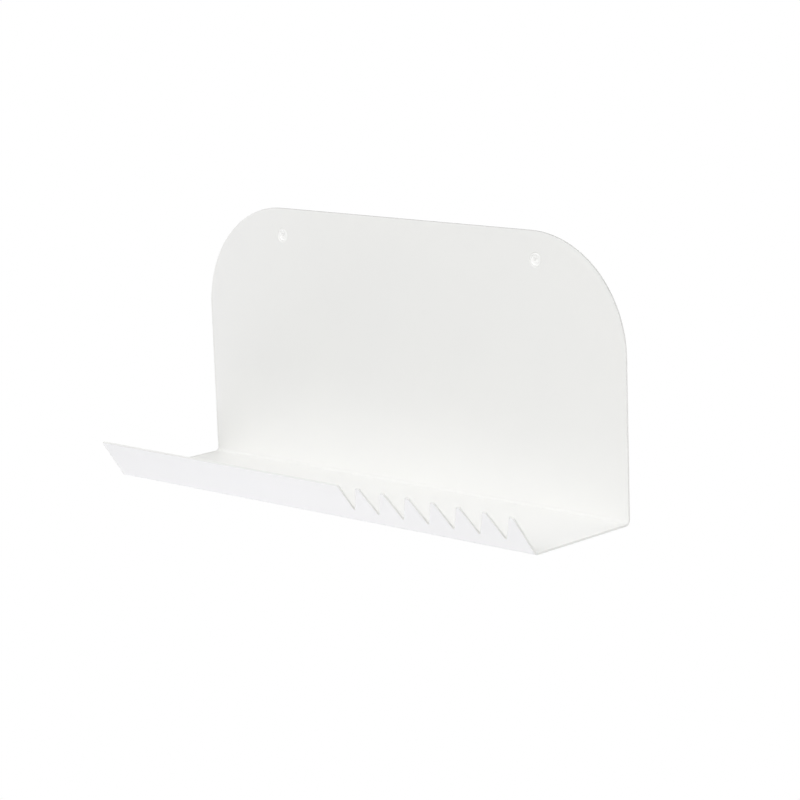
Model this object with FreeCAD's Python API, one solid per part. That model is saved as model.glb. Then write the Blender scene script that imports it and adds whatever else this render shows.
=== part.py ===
import FreeCAD, Part
import math
import os

# Wall shelf folded from one steel sheet: a back panel with two large round top corners, a level
# shelf at its foot, and a front lip that leans outwards. The right part of the lip is cut into
# saw teeth that things hang from. Two countersunk screws in wall plugs carry it.
# Millimetres. X runs along the shelf, Y into the wall, Z up. The origin lies on the back plane,
# at the middle of the shelf's width and at the height of the screws.

# Folded sheet
shelf_width = 400.0
sheet_thickness = 1.5
panel_height = 193.0
panel_corner_radius = 80.0
shelf_depth = 97.0
bend_inner_radius = 2.5
lip_length = 35.0
lip_angle_degrees = 54.5
lip_end_lean = 1.0
lip_end_radius = 1.5

# Saw teeth along the lip, counted from its right end
notch_count = 7
tooth_pitch = 22.6
notch_depth = 25.0
notch_steep_run = 4.6
notch_slant_run = 14.8
first_notch_steep_run = 1.8
end_tooth_width = 19.5
notch_root_radius = 0.7
tooth_tip_radius = 0.5

# Screw holes, placed from the panel's top edge and from the middle of its width
screw_drop = 20.0
screw_spacing = 243.0
screw_pair_offset = 2.2
screw_hole_diameter = 7.8
countersink_diameter = 10.4

# Countersunk wood screw with a cross recess
screw_length = 30.0
screw_diameter = 4.5
screw_point_length = 6.0
screw_head_diameter = 9.0
screw_head_rim = 0.4
screw_seat_gap = 0.05
recess_width = 1.2
recess_span = 5.0
recess_foot_span = 2.4
recess_depth = 2.3
recess_turn_degrees = 45.0

# Nylon wall plug, set a little below the wall's surface
plug_recess = 2.5
plug_length = 30.0
plug_diameter = 6.0
plug_collar_length = 7.0
plug_bore_gap = 0.05
plug_rib_count = 6
plug_rib_height = 0.35
plug_nose_length = 4.0
plug_nose_diameter = 5.0
plug_slit_width = 1.0

# How far a cutting tool runs past the faces that it cuts
overrun = 1.0

# How closely an edge must match the direction and the place by which it is picked
pick_slack_share = 0.01

# Worked out from the sizes above
half_width = shelf_width / 2
panel_top = screw_drop
shelf_underside = panel_top - panel_height
bend_outer_radius = bend_inner_radius + sheet_thickness
lip_angle = math.radians(lip_angle_degrees)
lip_bend_setback = bend_outer_radius * math.tan(lip_angle / 2)
lip_up = FreeCAD.Vector(0, -math.cos(lip_angle), math.sin(lip_angle))
lip_inwards = FreeCAD.Vector(0, math.sin(lip_angle), math.cos(lip_angle))
front_corner = FreeCAD.Vector(0, -shelf_depth, shelf_underside)
right = FreeCAD.Vector(1, 0, 0)
into_wall = FreeCAD.Vector(0, 1, 0)
screw_places = {
    "left": screw_pair_offset - screw_spacing / 2,
    "right": screw_pair_offset + screw_spacing / 2,
}


def line(a, b):
    return Part.LineSegment(a, b).toShape()


def bend(centre, radius, start, turn):
    """Arc in the YZ plane, from the angle start through the angle turn, in radians."""
    points = []
    for share in (0.0, 0.5, 1.0):
        angle = start + turn * share
        points.append(centre + FreeCAD.Vector(0, math.cos(angle), math.sin(angle)) * radius)
    return Part.Arc(*points).toShape(), points[0], points[2]


def closed_face(points):
    return Part.Face(Part.makePolygon(points + points[:1]))


def bent_sheet():
    """Section through panel, shelf and lip, drawn as one folded strip and run along the width."""
    back_centre = FreeCAD.Vector(0, -bend_outer_radius, shelf_underside + bend_outer_radius)
    front_centre = FreeCAD.Vector(
        0, lip_bend_setback - shelf_depth, shelf_underside + bend_outer_radius
    )

    outer_top = FreeCAD.Vector(0, 0, panel_top)
    inner_top = FreeCAD.Vector(0, -sheet_thickness, panel_top)
    lip_outer_edge = front_corner + lip_up * lip_length
    lip_inner_edge = lip_outer_edge + lip_inwards * sheet_thickness

    quarter = math.pi / 2
    outer_back, outer_back_high, outer_back_low = bend(back_centre, bend_outer_radius, 0, -quarter)
    inner_back, inner_back_high, inner_back_low = bend(back_centre, bend_inner_radius, 0, -quarter)
    outer_front, outer_front_low, outer_front_high = bend(
        front_centre, bend_outer_radius, -quarter, -lip_angle
    )
    inner_front, inner_front_low, inner_front_high = bend(
        front_centre, bend_inner_radius, -quarter, -lip_angle
    )
    edges = [
        line(outer_top, outer_back_high),
        outer_back,
        line(outer_back_low, outer_front_low),
        outer_front,
        line(outer_front_high, lip_outer_edge),
        line(lip_outer_edge, lip_inner_edge),
        line(lip_inner_edge, inner_front_high),
        inner_front,
        line(inner_front_low, inner_back_low),
        inner_back,
        line(inner_back_high, inner_top),
        line(inner_top, outer_top),
    ]
    section = Part.Face(Part.Wire(Part.__sortEdges__(edges)))
    section.translate(right * -half_width)
    return section.extrude(right * shelf_width)


def edges_across(shape, direction, points):
    """Edges of the shape that run in this direction through one of the points."""
    found = []
    for edge in shape.Edges:
        start, end = edge.Vertexes[0].Point, edge.Vertexes[-1].Point
        along = end - start
        if along.cross(direction).Length > along.Length * pick_slack_share:
            continue
        for point in points:
            if (start - point).cross(direction).Length < sheet_thickness * pick_slack_share:
                found.append(edge)
                break
    return found


def round_panel_corners(sheet):
    corners = [FreeCAD.Vector(side * half_width, 0, panel_top) for side in (-1, 1)]
    return sheet.makeFillet(panel_corner_radius, edges_across(sheet, into_wall, corners))


def lip_point(x, height):
    """Point on the lip's outer face, this far up from the sharp front corner."""
    return front_corner + right * x + lip_up * height


def lip_prism(corners):
    """Cutting tool that runs square through the lip, from corners on its outer face."""
    face = closed_face(corners)
    face.translate(lip_inwards * -overrun)
    return face.extrude(lip_inwards * (sheet_thickness + 2 * overrun))


def trim_lip_ends(sheet):
    """The lip's ends lean in a little above the bend and have rounded top corners."""
    lean_slope = lip_end_lean / (lip_length - lip_bend_setback)
    top = lip_length + overrun
    for side in (-1, 1):
        outside = side * (half_width + overrun)
        top_corner = side * (half_width - lean_slope * (top - lip_bend_setback))
        corners = [
            lip_point(side * half_width, lip_bend_setback),
            lip_point(outside, lip_bend_setback),
            lip_point(outside, top),
            lip_point(top_corner, top),
        ]
        sheet = sheet.cut(lip_prism(corners))
    tops = [lip_point(side * (half_width - lip_end_lean), lip_length) for side in (-1, 1)]
    return sheet.makeFillet(lip_end_radius, edges_across(sheet, lip_inwards, tops))


def notch_roots():
    """Places of the notch roots along X, from left to right."""
    last = half_width - end_tooth_width
    return [last - tooth_pitch * (notch_count - 1 - index) for index in range(notch_count)]


def notch_tool(root, steep_run):
    """Prism through the lip: a steep left wall, a slanted right wall and a small round root."""
    past_top = 1 + overrun / notch_depth
    foot = lip_length - notch_depth
    head = lip_length + overrun
    corners = [
        lip_point(root, foot),
        lip_point(root + notch_slant_run * past_top, head),
        lip_point(root - steep_run * past_top, head),
    ]
    tool = lip_prism(corners)
    return tool.makeFillet(notch_root_radius, edges_across(tool, lip_inwards, corners[:1]))


def cut_saw_teeth(sheet):
    """Cuts the notches, then eases the corners of the tips that they leave."""
    tips = []
    for index, root in enumerate(notch_roots()):
        steep_run = notch_steep_run if index else first_notch_steep_run
        sheet = sheet.cut(notch_tool(root, steep_run))
        tips.append(lip_point(root - steep_run, lip_length))
        tips.append(lip_point(root + notch_slant_run, lip_length))
    return sheet.makeFillet(tooth_tip_radius, edges_across(sheet, lip_inwards, tips))


def cut_screw_holes(sheet):
    """Round holes with a 90 degree countersink on the panel's front."""
    hole_radius = screw_hole_diameter / 2
    sink_radius = countersink_diameter / 2
    sink_depth = sink_radius - hole_radius
    for place in screw_places.values():
        front = FreeCAD.Vector(place, -sheet_thickness, 0)
        mouth = front - into_wall * overrun
        through = sheet_thickness + 2 * overrun
        sheet = sheet.cut(Part.makeCylinder(hole_radius, through, mouth, into_wall))
        sink = Part.makeCone(
            sink_radius + overrun, hole_radius, sink_depth + overrun, mouth, into_wall
        )
        sheet = sheet.cut(sink)
    return sheet


def folded_shelf():
    sheet = bent_sheet()
    sheet = round_panel_corners(sheet)
    sheet = trim_lip_ends(sheet)
    sheet = cut_saw_teeth(sheet)
    return cut_screw_holes(sheet)


def head_top():
    """Y of the screw head's top: its cone seats in the countersink, less the seat gap."""
    sink_radius = countersink_diameter / 2
    head_radius = screw_head_diameter / 2
    rim_foot = (sink_radius - head_radius) - sheet_thickness - screw_seat_gap * math.sqrt(2)
    return rim_foot - screw_head_rim


def turned(outline, place):
    """Solid of revolution about the screw's axis, from (radius, Y) pairs of a closed outline."""
    points = [FreeCAD.Vector(place + radius, y, 0) for radius, y in outline]
    axis_foot = FreeCAD.Vector(place, 0, 0)
    return closed_face(points).revolve(axis_foot, into_wall, 360)


def recess_blade(place, angle):
    """One blade of the cross recess: a flat wedge that narrows with depth."""
    top = head_top() - overrun
    foot = head_top() + recess_depth
    narrowing = (recess_span - recess_foot_span) / 2 / recess_depth
    half_top = recess_span / 2 + narrowing * overrun
    half_foot = recess_foot_span / 2
    sides = ((-half_top, top), (half_top, top), (half_foot, foot), (-half_foot, foot))
    points = [FreeCAD.Vector(place + x, y, -recess_width / 2) for x, y in sides]
    blade = closed_face(points).extrude(FreeCAD.Vector(0, 0, recess_width))
    blade.rotate(FreeCAD.Vector(place, 0, 0), into_wall, angle)
    return blade


def wood_screw(place):
    """Flat head with a short rim, 90 degree cone, shank and point, turned in one piece."""
    top = head_top()
    rim_foot = top + screw_head_rim
    head_radius = screw_head_diameter / 2
    shank_radius = screw_diameter / 2
    tip = top + screw_length
    outline = [
        (0, top),
        (head_radius, top),
        (head_radius, rim_foot),
        (shank_radius, rim_foot + head_radius - shank_radius),
        (shank_radius, tip - screw_point_length),
        (0, tip),
    ]
    screw = turned(outline, place)
    for quarter_turn in (0, 90):
        screw = screw.cut(recess_blade(place, recess_turn_degrees + quarter_turn))
    return screw


def wall_plug(place):
    """Plain collar, saw-tooth ribs, tapered nose, a bore for the screw and a slit for the halves."""
    outer = plug_diameter / 2
    bore = screw_diameter / 2 + plug_bore_gap
    mouth = plug_recess
    ribs_start = mouth + plug_collar_length
    nose_start = mouth + plug_length - plug_nose_length
    nose_end = mouth + plug_length
    rib_pitch = (nose_start - ribs_start) / plug_rib_count
    outline = [(bore, mouth), (outer, mouth), (outer, ribs_start)]
    for index in range(plug_rib_count):
        rib_foot = ribs_start + rib_pitch * index
        outline.append((outer - plug_rib_height, rib_foot))
        outline.append((outer, rib_foot + rib_pitch))
    outline.append((plug_nose_diameter / 2, nose_end))
    outline.append((bore, nose_end))
    plug = turned(outline, place)
    slit_start = ribs_start + rib_pitch / 2
    corner = FreeCAD.Vector(place - outer - overrun, slit_start, -plug_slit_width / 2)
    slit_length = nose_end + overrun - slit_start
    slit = Part.makeBox(plug_diameter + 2 * overrun, slit_length, plug_slit_width, corner)
    return plug.cut(slit)


def export(name, shape):
    solids = shape.Solids
    if len(solids) != 1 or not solids[0].isValid():
        raise ValueError(name + " is not one valid solid")
    solids[0].exportStep("parts/" + name + ".step")
    print(name, "volume", round(solids[0].Volume, 1))


os.makedirs("parts", exist_ok=True)
export("folded_shelf", folded_shelf())
for side, place in screw_places.items():
    export("screw_" + side, wood_screw(place))
    export("wall_plug_" + side, wall_plug(place))
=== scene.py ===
import math

import bpy
from mathutils import Matrix, Vector


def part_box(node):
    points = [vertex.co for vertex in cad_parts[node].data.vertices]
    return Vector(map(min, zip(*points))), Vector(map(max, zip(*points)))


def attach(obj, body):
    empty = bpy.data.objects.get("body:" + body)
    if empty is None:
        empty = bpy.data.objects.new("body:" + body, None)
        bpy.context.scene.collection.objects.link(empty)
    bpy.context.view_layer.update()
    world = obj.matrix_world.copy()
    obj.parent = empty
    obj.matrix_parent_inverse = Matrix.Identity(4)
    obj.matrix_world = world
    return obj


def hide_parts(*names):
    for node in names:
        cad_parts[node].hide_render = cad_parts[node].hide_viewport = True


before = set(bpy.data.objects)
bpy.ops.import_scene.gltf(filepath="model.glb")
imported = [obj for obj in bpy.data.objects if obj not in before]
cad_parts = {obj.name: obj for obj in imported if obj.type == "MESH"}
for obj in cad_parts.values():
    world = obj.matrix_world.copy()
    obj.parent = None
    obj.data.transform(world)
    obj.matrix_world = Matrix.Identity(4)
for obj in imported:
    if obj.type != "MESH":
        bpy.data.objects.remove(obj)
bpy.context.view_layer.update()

# The folded sheet
# One white powder-coated steel sheet, 1.5 mm thick: laser cut flat, with saw teeth in its front
# edge, then folded twice into panel, shelf and lip. The baked coat rounds the cut edges a little.
MM = 0.001
merge_reach = 0.002 * MM
flat_within = math.radians(0.5)
sharp_from = math.radians(40)
smooth_within = math.radians(35)
coat_rounding = 0.3 * MM
mouth_rounding = 0.3 * MM
coat_rounding_steps = 3
sheet_thickness = 1.5 * MM
shelf_depth = 97 * MM
lip_angle = math.radians(54.5)
lip_reach = 20 * MM
clear_of_bends = 6 * MM
edge_turn = 0.2
hole_keep_out = 7 * MM
# Painted shade lies along the inside fold, raised this far, and along the outside fold, set out and down
# this far.
inside_fold_up = 0.6 * MM
outside_fold_out = 0.2 * MM
outside_fold_down = 0.4 * MM
coat_white = "#F0F0EE"
coat_white_cloud = "#EDEDEC"
# Grey of the painted shade in the folds and at the left edge.
coat_painted_shade = "#E9E9E7"
coat_white_edge = "#E5E5E3"
# Painted shade on the panel's cut edges: greyer the more they face up, full at this upward lean.
panel_edge_painted_shade = "#BDBDBB"
edge_shade_full_at = 0.7
# The painted shade is full within the first distance of its line and gone beyond the second.
painted_shade_full_within = 0.8 * MM
painted_shade_ends_at = 2.4 * MM
coat_cloud = 70 * MM
orange_peel_wave = 2.2 * MM
orange_peel_height = 0.004 * MM
coat_grain = 0.7 * MM
coat_smoothest = 0.42
coat_roughest = 0.54
resin_ior = 1.5
even_coat_slot = 0
cut_edge_slot = 1
panel_edge_slot = 2


def to_linear(colour):
    """Linear colour for a shader socket, from an sRGB hex value."""
    shares = [int(colour[start:start + 2], 16) / 255 for start in (1, 3, 5)]
    linear = [s / 12.92 if s <= 0.04045 else ((s + 0.055) / 1.055) ** 2.4 for s in shares]
    return (*linear, 1.0)


def add_node(tree, kind, inputs=None, **settings):
    """Adds a node with its settings. Each input takes a value, or another node's output."""
    node = tree.nodes.new(kind)
    for name, value in settings.items():
        setattr(node, name, value)
    for name, source in (inputs or {}).items():
        if isinstance(source, bpy.types.NodeSocket):
            tree.links.new(source, node.inputs[name])
        else:
            node.inputs[name].default_value = source
    return node


def new_material(name):
    """An empty node material, and its tree."""
    material = bpy.data.materials.new(name)
    material.use_nodes = True
    material.node_tree.nodes.clear()
    return material, material.node_tree


sheet_low, sheet_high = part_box("folded_shelf")
shelf_top = sheet_low.z + sheet_thickness
# The lines of painted shade: the inside fold, the outside fold and the left edge.
inside_fold = Vector((0, sheet_high.y - sheet_thickness, shelf_top + inside_fold_up))
outside_fold_y = sheet_high.y - shelf_depth - outside_fold_out
outside_fold = Vector((0, outside_fold_y, sheet_low.z - outside_fold_down))
left_edge = Vector((sheet_low.x, 0, 0))
painted_shade_lines = ((inside_fold, (0, 1, 1)), (outside_fold, (0, 1, 1)), (left_edge, (1, 0, 0)))


def outside_painted_shade(tree, place):
    """0 in the two folds and at the left edge, where painted shade greys the coat fully, and 1 away from
    them. Each shade line is a point on its line, and the axes that lead away from that line."""
    unshaded = 1.0
    for point, axes in painted_shade_lines:
        offset = add_node(tree, "ShaderNodeVectorMath", {0: place, 1: point}, operation="SUBTRACT")
        across = add_node(
            tree, "ShaderNodeVectorMath", {0: offset.outputs["Vector"], 1: axes}, operation="MULTIPLY"
        )
        away = add_node(tree, "ShaderNodeVectorMath", {0: across.outputs["Vector"]}, operation="LENGTH")
        shade_fade = add_node(
            tree, "ShaderNodeMapRange",
            {"Value": away.outputs["Value"], "From Min": painted_shade_full_within, "From Max": painted_shade_ends_at},
        )
        least = add_node(
            tree, "ShaderNodeMath", {0: shade_fade.outputs["Result"], 1: unshaded}, operation="MINIMUM"
        )
        unshaded = least.outputs["Value"]
    return unshaded


def powder_coat(name, white, cloud_white, painted_edge_shade=None):
    """Sprayed and baked polyester powder: satin white, with a faint orange peel and slow clouds
    where the coat is thinner. Painted shade greys it in the inside corner behind the shelf, on the
    fold under the lip and at the left edge. Where an edge shade colour is given, painted shade greys
    faces more the more they face up. The coat gives the eye soft, broad highlights and no sparkle.
    Its satin grain is too fine to show in the render, so it is drawn coarser."""
    material, tree = new_material(name)
    coordinates = add_node(tree, "ShaderNodeTexCoord")
    place = coordinates.outputs["Object"]
    cloud = add_node(tree, "ShaderNodeTexNoise", {"Vector": place, "Scale": 1 / coat_cloud, "Detail": 2.0})
    colour = add_node(
        tree, "ShaderNodeMix",
        {"Factor": cloud.outputs["Fac"], "A": to_linear(white), "B": to_linear(cloud_white)},
        data_type="RGBA",
    )
    # Painted shade in the two folds and at the left edge.
    colour = add_node(
        tree, "ShaderNodeMix",
        {"Factor": outside_painted_shade(tree, place), "A": to_linear(coat_painted_shade), "B": colour.outputs[2]},
        data_type="RGBA",
    )
    # Painted shade: faces turn grey the more they face up.
    if painted_edge_shade:
        facing = add_node(tree, "ShaderNodeSeparateXYZ", {"Vector": coordinates.outputs["Normal"]})
        looks_up = add_node(
            tree, "ShaderNodeMapRange", {"Value": facing.outputs["Z"], "From Max": edge_shade_full_at}
        )
        colour = add_node(
            tree, "ShaderNodeMix",
            {"Factor": looks_up.outputs["Result"], "A": colour.outputs[2], "B": to_linear(painted_edge_shade)},
            data_type="RGBA",
        )
    peel = add_node(
        tree, "ShaderNodeTexNoise", {"Vector": place, "Scale": 1 / orange_peel_wave, "Detail": 1.0}
    )
    grain = add_node(tree, "ShaderNodeTexNoise", {"Vector": place, "Scale": 1 / coat_grain, "Detail": 2.0})
    roughness = add_node(
        tree, "ShaderNodeMapRange",
        {"Value": grain.outputs["Fac"], "To Min": coat_smoothest, "To Max": coat_roughest},
    )
    bump = add_node(
        tree, "ShaderNodeBump",
        {"Height": peel.outputs["Fac"], "Strength": 1.0, "Distance": orange_peel_height},
    )
    shader = add_node(
        tree, "ShaderNodeBsdfPrincipled",
        {
            "Base Color": colour.outputs[2],
            "Roughness": roughness.outputs["Result"],
            "Normal": bump.outputs["Normal"],
            "IOR": resin_ior,
        },
    )
    add_node(tree, "ShaderNodeOutputMaterial", {"Surface": shader.outputs["BSDF"]})
    return material


def select_only(piece):
    """Makes one piece the selected and active object, whatever was selected before."""
    bpy.ops.object.select_all(action="DESELECT")
    piece.select_set(True)
    bpy.context.view_layer.objects.active = piece


def copy_of_node(node, name):
    """A copy of a frame node with its own mesh, its loose triangles merged into clean flat faces."""
    piece = bpy.data.objects.new(name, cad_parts[node].data.copy())
    bpy.context.scene.collection.objects.link(piece)
    piece.data.materials.clear()
    select_only(piece)
    bpy.ops.mesh.customdata_custom_splitnormals_clear()
    bpy.ops.object.mode_set(mode="EDIT")
    bpy.ops.mesh.select_all(action="SELECT")
    bpy.ops.mesh.remove_doubles(threshold=merge_reach)
    bpy.ops.mesh.dissolve_limited(angle_limit=flat_within)
    bpy.ops.mesh.select_all(action="DESELECT")
    bpy.ops.object.mode_set(mode="OBJECT")
    return piece


def finish_shading(piece):
    """Smooth over soft edges only, with flat faces kept flat."""
    select_only(piece)
    bpy.ops.object.shade_smooth_by_angle(angle=smooth_within)
    modifier = piece.modifiers.new("flat_faces_stay_flat", "WEIGHTED_NORMAL")
    modifier.keep_sharp = True
    modifier.weight = 100
    bpy.ops.object.modifier_apply(modifier=modifier.name)


lip_up = Vector((0, -math.cos(lip_angle), math.sin(lip_angle)))
screw_axes = {
    side: (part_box("screw_" + side)[0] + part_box("screw_" + side)[1]) / 2 for side in ("left", "right")
}


def near_a_screw(point):
    """True close round a screw's hole in the panel."""
    return any(
        Vector((point.x - axis.x, point.z - axis.z)).length < hole_keep_out
        for axis in screw_axes.values()
    )


def on_a_mouth(start, end):
    """True for an edge round the countersunk mouth of a screw's hole, in the panel's front."""
    return near_a_screw(start) and max(start.y, end.y) < sheet_high.y - sheet_thickness / 2


def round_edges(piece, width, wanted):
    """Rounds the sharp edges of a piece where the test on an edge's two ends says so."""
    select_only(piece)
    bpy.ops.object.mode_set(mode="EDIT")
    bpy.ops.mesh.select_mode(type="EDGE")
    bpy.ops.mesh.select_all(action="DESELECT")
    bpy.ops.mesh.edges_select_sharp(sharpness=sharp_from)
    bpy.ops.object.mode_set(mode="OBJECT")
    points = piece.data.vertices
    for edge in piece.data.edges:
        start, end = (points[index].co for index in edge.vertices)
        edge.select = edge.select and wanted(start, end)
    bpy.ops.object.mode_set(mode="EDIT")
    bpy.ops.mesh.bevel(
        offset_type="OFFSET", offset=width, segments=coat_rounding_steps, affect="EDGES",
        clamp_overlap=False,
    )
    bpy.ops.object.mode_set(mode="OBJECT")


def is_cut_edge(face):
    """True for the narrow faces that the laser left all round the sheet, and their roundings."""
    centre, normal = face.center, face.normal
    at_side = abs(normal.x) > edge_turn
    at_top = normal.z > edge_turn and centre.z > sheet_high.z - 2 * sheet_thickness
    in_lip = centre.y < sheet_low.y + lip_reach and centre.z > sheet_low.z + clear_of_bends
    at_tooth = in_lip and abs(normal.dot(lip_up)) > edge_turn
    return (at_side or at_top or at_tooth) and not near_a_screw(centre)


def coat_on(face):
    """The slot of a face's coat: the even one, the thin one on cut edges, or the panel edge's one with
    painted shade.
    """
    if not is_cut_edge(face):
        return even_coat_slot
    on_panel = face.center.y > sheet_high.y - sheet_thickness - merge_reach
    above_bend = face.center.z > sheet_low.z + clear_of_bends
    return panel_edge_slot if on_panel and above_bend else cut_edge_slot


sheet = copy_of_node("folded_shelf", "white_folded_sheet")
sheet.data.materials.append(powder_coat("white_polyester_powder_coat", coat_white, coat_white_cloud))
sheet.data.materials.append(powder_coat("thin_powder_coat_on_cut_edges", coat_white_edge, coat_white_edge))
# The panel edge's coat carries painted shade where its cut edges face up.
sheet.data.materials.append(
    powder_coat("thin_powder_coat_with_painted_shade_on_panel_edge", coat_white_edge, coat_white_edge, panel_edge_painted_shade)
)
round_edges(sheet, mouth_rounding, on_a_mouth)
round_edges(sheet, coat_rounding, lambda start, end: not near_a_screw(start))
for face in sheet.data.polygons:
    face.material_index = coat_on(face)
finish_shading(sheet)
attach(sheet, "root")
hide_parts("folded_shelf")

# The two screws
# Countersunk wood screws, 4.5 x 30: rolled thread on zinc-plated steel, and a cross-recess head
# lacquered white to match the coat. Each head is dished inside a soft rim, and the lacquer and the
# coat all but close the gap round it.
screw_sides = 48
end_turn = 0.5
flat_turn = 0.99
screw_low, screw_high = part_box("screw_left")
screw_centre = screw_axes["left"]
head_top = screw_low.y
screw_tip = screw_high.y
lacquer_build = 0.25 * MM
lacquer_reach = 2.8 * MM
head_radius = (screw_high.x - screw_low.x) / 2 + lacquer_build
head_rim = 0.4 * MM
head_rounding = 0.36 * MM
head_rounding_steps = 3
rim_width = 0.85 * MM
dish_foot_share = 0.9
dish_depth = 0.6 * MM
dish_rounding = 0.12 * MM
shank_radius = 1.5 * MM
thread_radius = 2.25 * MM
thread_pitch = 2.2 * MM
thread_base = 0.9 * MM
thread_sunk = 0.2 * MM
thread_start = 5.0 * MM
thread_steps = screw_sides // 2
point_length = 6.0 * MM
point_radius = 0.15 * MM
point_taper = 0.9
recess_width = 1.25 * MM
recess_span = 5.2 * MM
recess_foot_span_share = 0.45
recess_foot_width_share = 0.8
recess_depth = 1.7 * MM
recess_turn = math.radians(45)
lacquer_white = "#F9F9F8"
lacquer_chip = "#EAEBEA"
zinc_pale = "#D2D5D8"
zinc_dull = "#B4B8BC"
scuff_size = 0.5 * MM
scuff_from = 0.62
scuff_full_at = 0.75
lacquer_smoothest = 0.2
lacquer_roughest = 0.38
lacquer_ripple = 0.01 * MM
zinc_cloud = 1.5 * MM
zinc_smoothest = 0.25
zinc_roughest = 0.5
lacquer_slot = 0
zinc_slot = 1


def white_lacquer():
    """Stove enamel over zinc on the screw's head: thin and glossier than the coat round it, so it
    gives small bright glints, and it is scuffed grey in small random patches."""
    material, tree = new_material("white_stove_lacquer")
    place = add_node(tree, "ShaderNodeTexCoord").outputs["Object"]
    scuff = add_node(tree, "ShaderNodeTexNoise", {"Vector": place, "Scale": 1 / scuff_size, "Detail": 3.0})
    share = add_node(
        tree, "ShaderNodeMapRange",
        {"Value": scuff.outputs["Fac"], "From Min": scuff_from, "From Max": scuff_full_at},
    )
    colour = add_node(
        tree, "ShaderNodeMix",
        {"Factor": share.outputs["Result"], "A": to_linear(lacquer_white), "B": to_linear(lacquer_chip)},
        data_type="RGBA",
    )
    roughness = add_node(
        tree, "ShaderNodeMapRange",
        {"Value": scuff.outputs["Fac"], "To Min": lacquer_smoothest, "To Max": lacquer_roughest},
    )
    bump = add_node(
        tree, "ShaderNodeBump",
        {"Height": scuff.outputs["Fac"], "Strength": 1.0, "Distance": lacquer_ripple},
    )
    shader = add_node(
        tree, "ShaderNodeBsdfPrincipled",
        {
            "Base Color": colour.outputs[2],
            "Roughness": roughness.outputs["Result"],
            "Normal": bump.outputs["Normal"],
            "IOR": resin_ior,
        },
    )
    add_node(tree, "ShaderNodeOutputMaterial", {"Surface": shader.outputs["BSDF"]})
    return material


def zinc_plate():
    """Bright zinc on rolled steel: a bluish pale grey metal with dull clouds, which gives the
    thread's flanks soft metallic streaks."""
    material, tree = new_material("zinc_plated_steel")
    place = add_node(tree, "ShaderNodeTexCoord").outputs["Object"]
    cloud = add_node(tree, "ShaderNodeTexNoise", {"Vector": place, "Scale": 1 / zinc_cloud, "Detail": 3.0})
    colour = add_node(
        tree, "ShaderNodeMix",
        {"Factor": cloud.outputs["Fac"], "A": to_linear(zinc_pale), "B": to_linear(zinc_dull)},
        data_type="RGBA",
    )
    roughness = add_node(
        tree, "ShaderNodeMapRange",
        {"Value": cloud.outputs["Fac"], "To Min": zinc_smoothest, "To Max": zinc_roughest},
    )
    shader = add_node(
        tree, "ShaderNodeBsdfPrincipled",
        {"Base Color": colour.outputs[2], "Roughness": roughness.outputs["Result"], "Metallic": 1.0},
    )
    add_node(tree, "ShaderNodeOutputMaterial", {"Surface": shader.outputs["BSDF"]})
    return material


def apply_place(piece):
    """Moves a primitive's place and turn into its mesh, so that its object lies at the origin."""
    select_only(piece)
    bpy.ops.object.transform_apply(location=True, rotation=True, scale=True)


def select_faces(piece, wanted):
    """Leaves the piece in edit mode, with only the wanted faces selected."""
    select_only(piece)
    bpy.ops.object.mode_set(mode="EDIT")
    bpy.ops.mesh.select_mode(type="FACE")
    bpy.ops.mesh.select_all(action="DESELECT")
    bpy.ops.object.mode_set(mode="OBJECT")
    for face in piece.data.polygons:
        face.select = wanted(face)
    bpy.ops.object.mode_set(mode="EDIT")


def extrude_round(along, size_share):
    """Draws the screw's selected end out along Y, and makes the new end this share as wide."""
    bpy.ops.mesh.extrude_region_move(TRANSFORM_OT_translate={"value": (0, along, 0)})
    bpy.ops.transform.resize(value=(size_share, 1, size_share), center_override=screw_centre)


def apply_boolean(piece, other, operation):
    """Joins or cuts a piece with another one, which is used up."""
    modifier = piece.modifiers.new(operation.lower(), "BOOLEAN")
    modifier.operation = operation
    modifier.solver = "EXACT"
    modifier.object = other
    select_only(piece)
    bpy.ops.object.modifier_apply(modifier=modifier.name)
    bpy.data.objects.remove(other)


def recess_blade(turn):
    """One wing pair of the cross recess: a block that narrows towards its foot."""
    top, foot = head_top - head_rim, head_top + recess_depth
    foot_centre = (screw_centre.x, foot, screw_centre.z)
    bpy.ops.mesh.primitive_cube_add(size=1, location=(screw_centre.x, (top + foot) / 2, screw_centre.z))
    blade = bpy.context.object
    blade.scale = (recess_span, foot - top, recess_width)
    apply_place(blade)
    select_faces(blade, lambda face: face.normal.y > end_turn)
    bpy.ops.transform.resize(
        value=(recess_foot_span_share, 1, recess_foot_width_share), center_override=foot_centre
    )
    bpy.ops.mesh.select_all(action="SELECT")
    bpy.ops.transform.rotate(value=turn, orient_axis="Y", center_override=foot_centre)
    bpy.ops.object.mode_set(mode="OBJECT")
    return blade


def screw_body():
    """Head, cone, core and point, drawn out from a short cylinder. The head's rim is rounded, and
    its top is dished inside it."""
    bpy.ops.mesh.primitive_cylinder_add(
        vertices=screw_sides, radius=head_radius, depth=head_rim,
        location=(screw_centre.x, head_top + head_rim / 2, screw_centre.z),
        rotation=(math.pi / 2, 0, 0),
    )
    body = bpy.context.object
    apply_place(body)
    cone_length = head_radius - shank_radius
    core_length = screw_tip - head_top - head_rim - cone_length - point_length
    select_faces(body, lambda face: face.normal.y > end_turn)
    extrude_round(cone_length, shank_radius / head_radius)
    extrude_round(core_length, 1)
    extrude_round(point_length, point_radius / shank_radius)
    bpy.ops.object.mode_set(mode="OBJECT")
    select_faces(body, lambda face: face.normal.y < -end_turn)
    bpy.ops.mesh.bevel(offset=head_rounding, segments=head_rounding_steps, affect="EDGES")
    bpy.ops.object.mode_set(mode="OBJECT")
    select_faces(body, lambda face: face.normal.y < -flat_turn)
    bpy.ops.mesh.inset(thickness=rim_width)
    extrude_round(dish_depth, dish_foot_share)
    bpy.ops.object.mode_set(mode="OBJECT")
    return body


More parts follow.
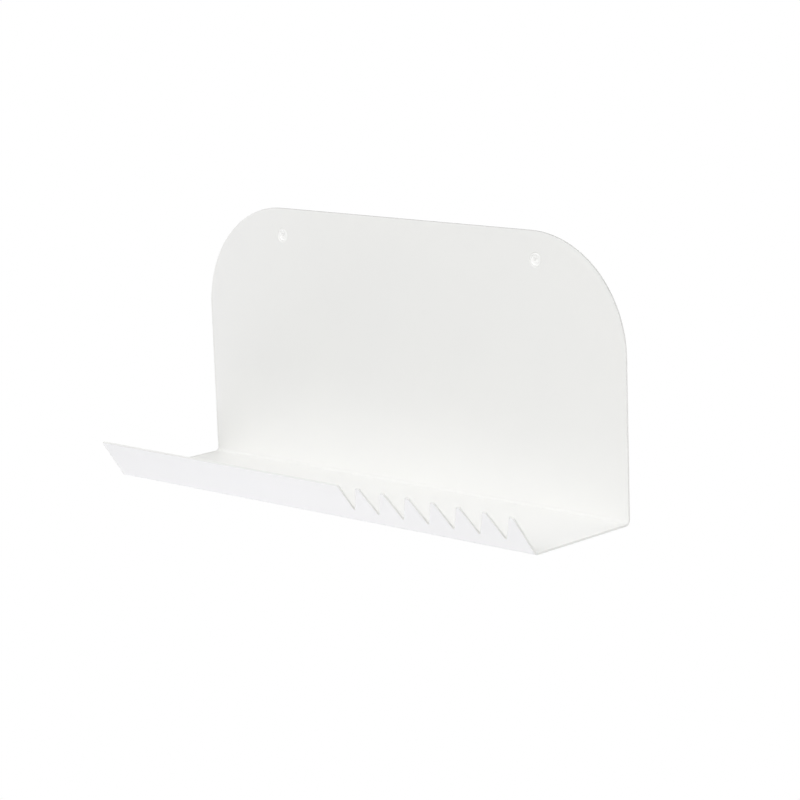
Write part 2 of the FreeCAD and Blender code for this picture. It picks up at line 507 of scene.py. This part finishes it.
def thread_ridge():
    """The rolled thread: a three-sided ridge wound round the core, tapering over the point."""
    start = head_top + thread_start
    bpy.ops.mesh.primitive_circle_add(
        vertices=3, radius=thread_base, location=(shank_radius, 0, 0), rotation=(0, 0, -math.pi / 2)
    )
    ridge = bpy.context.object
    apply_place(ridge)
    crest = max(point.co.x for point in ridge.data.vertices)
    for point in ridge.data.vertices:
        on_crest = point.co.x > crest - merge_reach
        point.co.x = thread_radius if on_crest else shank_radius - thread_sunk
        point.co.y = 0 if on_crest else math.copysign(thread_base / 2, point.co.y)
    winding = ridge.modifiers.new("winding", "SCREW")
    winding.axis = "Y"
    winding.screw_offset = thread_pitch
    winding.iterations = int((screw_tip - start) / thread_pitch)
    winding.steps = thread_steps
    winding.render_steps = thread_steps
    select_only(ridge)
    bpy.ops.object.modifier_apply(modifier=winding.name)
    bpy.ops.object.mode_set(mode="EDIT")
    bpy.ops.mesh.select_all(action="SELECT")
    bpy.ops.mesh.remove_doubles(threshold=merge_reach)
    bpy.ops.mesh.fill_holes(sides=4)
    bpy.ops.mesh.select_all(action="SELECT")
    bpy.ops.mesh.normals_make_consistent(inside=False)
    bpy.ops.transform.translate(value=(screw_centre.x, start, screw_centre.z))
    bpy.ops.object.mode_set(mode="OBJECT")
    taper_start = screw_tip - point_length
    for point in ridge.data.vertices:
        share = min(1, max(0, (point.co.y - taper_start) / point_length))
        point.co.x = screw_centre.x + (point.co.x - screw_centre.x) * (1 - point_taper * share)
        point.co.z = screw_centre.z + (point.co.z - screw_centre.z) * (1 - point_taper * share)
    return ridge


screw = screw_body()
screw.name = "lacquered_screw_left"
for turn in (recess_turn, recess_turn + math.pi / 2):
    apply_boolean(screw, recess_blade(turn), "DIFFERENCE")
round_edges(screw, dish_rounding, lambda start, end: max(start.y, end.y) < head_top + merge_reach)
apply_boolean(screw, thread_ridge(), "UNION")
screw.data.materials.append(white_lacquer())
screw.data.materials.append(zinc_plate())
for face in screw.data.polygons:
    bare_zinc = face.center.y > head_top + head_rim + lacquer_reach
    face.material_index = zinc_slot if bare_zinc else lacquer_slot
finish_shading(screw)

twin = bpy.data.objects.new("lacquered_screw_right", screw.data.copy())
bpy.context.scene.collection.objects.link(twin)
twin.data.transform(Matrix.Translation(screw_axes["right"] - screw_centre))
for piece, side in ((screw, "left"), (twin, "right")):
    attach(piece, "root")
    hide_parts("screw_" + side)

# The two wall plugs
# Grey nylon, moulded in one piece: a plain collar, saw-tooth ribs that grip the drilled hole, and
# two legs that the screw spreads. They sit 2.5 mm below the wall's surface, behind the panel.
nylon_grey = "#A9ACAD"
nylon_grey_light = "#B7BABA"
nylon_cloud = 4 * MM
mould_grain = 0.3 * MM
mould_grain_height = 0.01 * MM
nylon_smoothest = 0.45
nylon_roughest = 0.6
nylon_ior = 1.53


def moulded_nylon():
    """Injection-moulded polyamide: half matte grey, a little uneven where the melt flowed, with a
    fine spark-eroded grain that gives it a soft waxy sheen. The grain is drawn coarser than it is,
    so that it shows."""
    material, tree = new_material("moulded_grey_nylon")
    place = add_node(tree, "ShaderNodeTexCoord").outputs["Object"]
    flow = add_node(tree, "ShaderNodeTexNoise", {"Vector": place, "Scale": 1 / nylon_cloud, "Detail": 3.0})
    colour = add_node(
        tree, "ShaderNodeMix",
        {"Factor": flow.outputs["Fac"], "A": to_linear(nylon_grey), "B": to_linear(nylon_grey_light)},
        data_type="RGBA",
    )
    grain = add_node(tree, "ShaderNodeTexNoise", {"Vector": place, "Scale": 1 / mould_grain, "Detail": 1.0})
    roughness = add_node(
        tree, "ShaderNodeMapRange",
        {"Value": grain.outputs["Fac"], "To Min": nylon_smoothest, "To Max": nylon_roughest},
    )
    bump = add_node(
        tree, "ShaderNodeBump",
        {"Height": grain.outputs["Fac"], "Strength": 1.0, "Distance": mould_grain_height},
    )
    shader = add_node(
        tree, "ShaderNodeBsdfPrincipled",
        {
            "Base Color": colour.outputs[2],
            "Roughness": roughness.outputs["Result"],
            "Normal": bump.outputs["Normal"],
            "IOR": nylon_ior,
        },
    )
    add_node(tree, "ShaderNodeOutputMaterial", {"Surface": shader.outputs["BSDF"]})
    return material


nylon = moulded_nylon()
for side in ("left", "right"):
    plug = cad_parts["wall_plug_" + side]
    plug.data.materials.clear()
    plug.data.materials.append(nylon)

# The studio floor
# A wide, plain, pale floor 1.4 m below the shelf, as under a shelf on a wall. To the camera it
# glows up to white where it is lit, and it keeps the shelf's soft shadow.
floor_height = -1.4
floor_radius = 40.0
floor_sides = 64
floor_pale = "#E6E6E4"
floor_share_lit = 0.6
floor_glow = 0.42
shadow_reach = 1.0
white_from = 2.0
full_white = 1.0

bpy.ops.mesh.primitive_circle_add(
    vertices=floor_sides, radius=floor_radius, fill_type="NGON", location=(0, 0, floor_height)
)
floor = bpy.context.object
floor.name = "studio_floor"
floor_paint, tree = new_material("pale_studio_floor")
path = add_node(tree, "ShaderNodeLightPath")
paint = add_node(tree, "ShaderNodeBsdfDiffuse", {"Color": to_linear(floor_pale)})
dim_paint = add_node(
    tree, "ShaderNodeBsdfDiffuse", {"Color": (floor_share_lit, floor_share_lit, floor_share_lit, 1)}
)
glow = add_node(tree, "ShaderNodeEmission", {"Strength": floor_glow})
with_shadow = add_node(tree, "ShaderNodeAddShader", {0: dim_paint.outputs[0], 1: glow.outputs[0]})
white = add_node(tree, "ShaderNodeEmission", {"Strength": full_white})
spot = add_node(tree, "ShaderNodeTexCoord").outputs["Object"]
away = add_node(tree, "ShaderNodeVectorMath", {0: spot}, operation="LENGTH")
outside = add_node(
    tree, "ShaderNodeMapRange",
    {"Value": away.outputs["Value"], "From Min": shadow_reach, "From Max": white_from},
)
shown = add_node(
    tree, "ShaderNodeMixShader",
    {0: outside.outputs["Result"], 1: with_shadow.outputs[0], 2: white.outputs[0]},
)
seen = add_node(
    tree, "ShaderNodeMixShader",
    {0: path.outputs["Is Camera Ray"], 1: paint.outputs[0], 2: shown.outputs[0]},
)
add_node(tree, "ShaderNodeOutputMaterial", {"Surface": seen.outputs[0]})
floor.data.materials.append(floor_paint)

# The grey card
# A small card of grey felt, stood beside the shelf's left end as product photographers do. It keeps
# the edges there dark against the white backdrop. The camera doesn't see it.
card_gap = 5 * MM
card_centre_y = -11 * MM
card_lift = 7 * MM
card_depth = 62 * MM
card_height = 28 * MM
felt_grey = "#AEAEAC"

bpy.ops.mesh.primitive_plane_add(
    size=1, location=(sheet_low.x - card_gap, card_centre_y, sheet_low.z + card_lift),
    rotation=(0, math.pi / 2, 0),
)
card = bpy.context.object
card.name = "grey_card"
card.scale = (card_height, card_depth, 1)
apply_place(card)
card.visible_camera = False
felt, tree = new_material("grey_felt")
pile = add_node(tree, "ShaderNodeBsdfDiffuse", {"Color": to_linear(felt_grey)})
add_node(tree, "ShaderNodeOutputMaterial", {"Surface": pile.outputs[0]})
card.data.materials.append(felt)

# The studio light
# An even white room, and large soft boxes round the shelf. The high front box makes the shelf throw
# its glow on the panel's foot, and a cool box low on the left lights the lip from below. Each box
# has its azimuth and elevation, its watts, its distance and size, and its colour.
room_level = 0.5
box_white = "#FFFFFF"
box_cool = "#F0EFFF"
far_lamp = (3000 * MM, 2000 * MM)
lamps = {
    "high_front_box": (0, 35, 44.7, far_lamp, box_white),
    "right_box": (90, 10, 26.3, far_lamp, box_white),
    "top_box": (0, 89, 15.4, far_lamp, box_white),
    "back_box": (180, 25, 27.8, far_lamp, box_white),
    "low_left_box": (-80, -60, 4.8, (1200 * MM, 950 * MM), box_cool),
    "low_right_box": (60, -35, 1.0, (1600 * MM, 1200 * MM), box_white),
}
lamp_aim = Vector((0, -50, -80)) * MM

room = bpy.data.worlds.new("white_room")
room.use_nodes = True
tree = room.node_tree
tree.nodes.clear()
path = add_node(tree, "ShaderNodeLightPath")
camera_or_gloss = add_node(
    tree, "ShaderNodeMath",
    {0: path.outputs["Is Camera Ray"], 1: path.outputs["Is Glossy Ray"]},
    operation="MAXIMUM",
)
shown = add_node(
    tree, "ShaderNodeMath",
    {0: camera_or_gloss.outputs[0], 1: path.outputs["Is Transmission Ray"]},
    operation="MAXIMUM",
)
even = add_node(tree, "ShaderNodeBackground", {"Color": (1, 1, 1, 1), "Strength": room_level})
backdrop = add_node(tree, "ShaderNodeBackground", {"Color": (1, 1, 1, 1), "Strength": full_white})
mixed = add_node(
    tree, "ShaderNodeMixShader", {0: shown.outputs[0], 1: even.outputs[0], 2: backdrop.outputs[0]}
)
add_node(tree, "ShaderNodeOutputWorld", {"Surface": mixed.outputs[0]})
bpy.context.scene.world = room


def direction_back(azimuth, elevation):
    """Unit vector from the shelf towards a lamp or camera. Azimuth 0 is straight in front."""
    around, up = math.radians(azimuth), math.radians(elevation)
    level = math.cos(up)
    return Vector((math.sin(around) * level, -math.cos(around) * level, math.sin(up)))


for name, (azimuth, elevation, watts, (lamp_distance, lamp_size), colour) in lamps.items():
    lamp_data = bpy.data.lights.new(name, "AREA")
    lamp_data.shape = "SQUARE"
    lamp_data.size = lamp_size
    lamp_data.energy = watts
    lamp_data.color = to_linear(colour)[:3]
    lamp = bpy.data.objects.new(name, lamp_data)
    back = direction_back(azimuth, elevation)
    lamp.location = lamp_aim + back * lamp_distance
    lamp.rotation_euler = back.to_track_quat("Z", "Y").to_euler()
    lamp.visible_camera = False
    bpy.context.scene.collection.objects.link(lamp)

# The camera
# It stands to the right of the shelf and a little above it, at the photograph's angle, with a long
# lens. Its place was solved from the straight edges and the round corners.
camera_azimuth = 43.553
camera_elevation = 11.343
camera_roll = -1.989
camera_distance = 1844.6 * MM
camera_aim = Vector((29.81, -39.20, -100.25)) * MM
camera_lens = 119.737
camera_film_width = 36.0
camera_sees_to = 200.0

camera_data = bpy.data.cameras.new("camera")
camera_data.lens = camera_lens
camera_data.sensor_width = camera_film_width
camera_data.clip_end = camera_sees_to
camera = bpy.data.objects.new("camera", camera_data)
bpy.context.scene.collection.objects.link(camera)
turn = Matrix.Rotation(math.radians(camera_azimuth), 4, "Z")
tilt = Matrix.Rotation(math.radians(90 - camera_elevation), 4, "X")
roll = Matrix.Rotation(math.radians(camera_roll), 4, "Z")
stand = camera_aim + direction_back(camera_azimuth, camera_elevation) * camera_distance
camera.matrix_world = Matrix.Translation(stand) @ turn @ tilt @ roll
bpy.context.scene.camera = camera
bpy.context.scene.view_settings.view_transform = "Standard"
